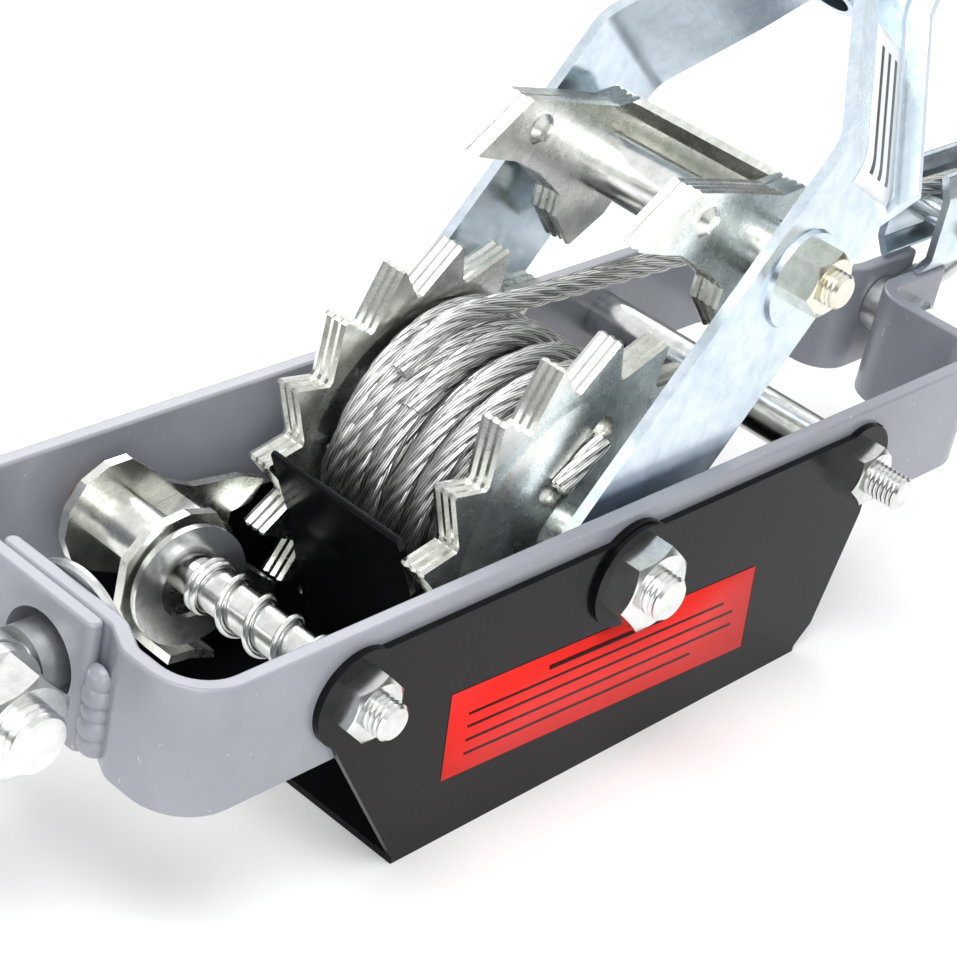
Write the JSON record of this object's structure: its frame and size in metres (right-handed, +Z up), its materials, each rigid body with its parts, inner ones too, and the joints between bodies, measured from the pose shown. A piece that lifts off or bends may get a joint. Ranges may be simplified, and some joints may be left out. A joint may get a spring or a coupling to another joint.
{
  "type": "come along winch",
  "caption": "Hand cable puller: welded flat-bar frame, twin ratchet wheels on a wire rope drum, pressed handle with drive pawls, holding pawl, swivel hook and pulley block with hook.",
  "frame": {"origin": "centre of the bounding box in plan, at the lowest point of the guard", "axes": "+X along the frame from the frame hook to the pulley block hook, +Z up, handle on the +X side, nuts on the -Y side"},
  "size_m": [0.6204, 0.1296, 0.363],
  "materials": {
    "fastener_zinc": "bright zinc",
    "frame_paint": "semi-gloss",
    "grip_plastic": "moulded",
    "guard_black": "satin",
    "hook_steel": "zinc plated forging",
    "rope_steel": "galvanised strands",
    "rust": "rusted",
    "zinc_plate": "bright zinc",
    "zinc_warm": "zinc with a warm tint"
  },
  "bodies": {
    "frame": {"anchor_bolt": "fastener_zinc", "anchor_nut": "fastener_zinc", "axle_bolt": "fastener_zinc", "axle_nut": "fastener_zinc", "axle_washer": "guard_black", "block_nuts": "fastener_zinc", "block_yoke": "fastener_zinc", "cheek_bolt": "fastener_zinc", "frame_weld": "frame_paint", "front_cheek": "zinc_plate", "front_frame_bar": "frame_paint", "guard": "guard_black", "pawl_bolt": "fastener_zinc", "pawl_sleeve": "fastener_zinc", "pawl_spacer": "rust", "pawl_spring": "fastener_zinc", "rail_nuts": "fastener_zinc", "rear_cheek": "zinc_plate", "rear_frame_bar": "frame_paint", "rope_run": "rope_steel", "rope_terminal": "fastener_zinc", "sheave_pin": "fastener_zinc", "spring_washer": "fastener_zinc", "tie_bolt": "fastener_zinc", "tie_sleeve": "fastener_zinc"},
    "drum": {"drum_core": "fastener_zinc", "drum_bush": "fastener_zinc", "wound_rope": "rope_steel", "rope_end_stub": "rope_steel", "front_ratchet_plate_1": "zinc_warm", "front_ratchet_plate_2": "zinc_warm", "front_ratchet_plate_3": "zinc_warm", "rear_ratchet_plate_1": "zinc_warm", "rear_ratchet_plate_2": "zinc_warm", "rear_ratchet_plate_3": "zinc_warm"},
    "handle": {"front_handle_arm": "zinc_plate", "rear_handle_arm": "zinc_plate", "arm_edge_flange": "zinc_plate", "cross_tube": "fastener_zinc", "cross_bolt": "fastener_zinc", "cross_nut": "fastener_zinc", "handle_stem": "zinc_plate", "handle_rivets": "fastener_zinc", "handle_grip": "grip_plastic"},
    "drive_pawls": {"front_drive_pawl": "zinc_warm", "rear_drive_pawl": "zinc_warm", "drive_pawl_bracket": "zinc_warm", "drive_pawl_rivets": "zinc_warm"},
    "holding_pawl": {"holding_pawl_bracket": "zinc_warm", "holding_pawl_nose": "zinc_warm", "holding_pawl_rivets": "zinc_warm"},
    "frame_hook": {"swivel_stud": "hook_steel", "clevis_bolt": "fastener_zinc", "clevis_nut": "fastener_zinc", "frame_hook": "hook_steel"},
    "frame_hook_latch": {"frame_hook_latch": "fastener_zinc"},
    "sheave": {"sheave": "fastener_zinc"},
    "block_hook": {"block_hook": "hook_steel", "block_hook_nut": "fastener_zinc"},
    "block_hook_latch": {"block_hook_latch": "fastener_zinc"}
  },
  "joints": [
    {"name": "drum_turn", "type": "hinge", "parent": "frame", "child": "drum", "pos_m": [-0.04801, 0.004, 0.062], "axis": [0, -1, 0], "continuous": true},
    {"name": "handle_swing", "type": "hinge", "parent": "frame", "child": "handle", "pos_m": [-0.04801, 0.004, 0.062], "axis": [0, -1, 0], "range_deg": [-4, 63]},
    {"name": "drive_pawl_swing", "type": "hinge", "parent": "handle", "child": "drive_pawls", "pos_m": [0.01103, 0.004, 0.13112], "axis": [0, -1, 0], "range_deg": [-10, 22]},
    {"name": "holding_pawl_swing", "type": "hinge", "parent": "frame", "child": "holding_pawl", "pos_m": [-0.14601, 0.004, 0.062], "axis": [0, -1, 0], "range_deg": [0, 10]},
    {"name": "frame_hook_swivel", "type": "hinge", "parent": "frame", "child": "frame_hook", "pos_m": [-0.19801, 0.004, 0.062], "axis": [1, 0, 0], "continuous": true},
    {"name": "frame_hook_latch_hinge", "type": "hinge", "parent": "frame_hook", "child": "frame_hook_latch", "pos_m": [-0.25301, 0.004, 0.072], "axis": [0, -1, 0], "range_deg": [0, 26], "stiffness_Nm_per_rad": 0.02, "springref_deg": -28.65},
    {"name": "sheave_turn", "type": "hinge", "parent": "frame", "child": "sheave", "pos_m": [0.19199, 0.004, 0.094], "axis": [0, -1, 0], "continuous": true},
    {"name": "block_hook_swivel", "type": "hinge", "parent": "frame", "child": "block_hook", "pos_m": [0.22299, 0.004, 0.0965], "axis": [1, 0, 0], "continuous": true},
    {"name": "block_hook_latch_hinge", "type": "hinge", "parent": "block_hook", "child": "block_hook_latch", "pos_m": [0.25299, 0.004, 0.1065], "axis": [0, 1, 0], "range_deg": [0, 26], "stiffness_Nm_per_rad": 0.02, "springref_deg": -28.65}
  ]
}
